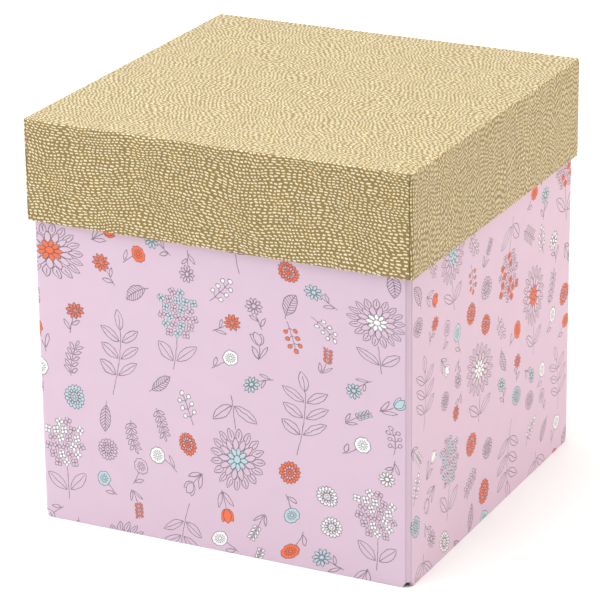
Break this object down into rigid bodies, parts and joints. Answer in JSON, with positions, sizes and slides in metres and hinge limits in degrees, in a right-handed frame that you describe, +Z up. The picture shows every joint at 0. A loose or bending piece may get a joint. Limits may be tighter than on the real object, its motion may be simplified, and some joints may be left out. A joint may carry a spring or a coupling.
{
  "type": "flower box",
  "caption": "Cube-shaped lidded flower box of paper-wrapped greyboard with paper-hinged wall corners and a deep lift-off lid.",
  "frame": {"origin": "middle of the underside, on the surface that the box stands on", "axes": "+Z up through the lid; +X to the right and -Y out of the front panel, which is a panel without the wrap's seam"},
  "size_m": [0.3, 0.3, 0.305],
  "materials": {
    "greyboard": "bare grey recycled board, fibrous and matt",
    "wall_print": "smooth uncoated printed paper in pale pink with fine line drawings and small coral, aqua and white fills",
    "lid_print": "smooth uncoated printed paper in mustard with rows of small cream dashes",
    "lining": "plain off-white uncoated paper",
    "kraft_tape": "brown kraft tape, matt"
  },
  "bodies": {
    "base": {"base_front_board": "greyboard", "base_back_board": "greyboard", "base_left_board": "greyboard", "base_right_board": "greyboard", "base_wrap": "wall_print", "wall_lining": "lining", "bottom_board": "greyboard", "floor_lining": "lining", "underside_paper": "lining"},
    "lid": {"lid_top_board": "greyboard", "lid_front_board": "greyboard", "lid_back_board": "greyboard", "lid_left_board": "greyboard", "lid_right_board": "greyboard", "lid_stay_front_left": "kraft_tape", "lid_stay_front_right": "kraft_tape", "lid_stay_back_left": "kraft_tape", "lid_stay_back_right": "kraft_tape", "lid_wrap": "lid_print", "lid_lining": "lining"}
  },
  "joints": [
    {"name": "lid_lift", "type": "slide", "parent": "base", "child": "lid", "axis": [0, 0, 1], "range_m": [0, 0.12]}
  ]
}
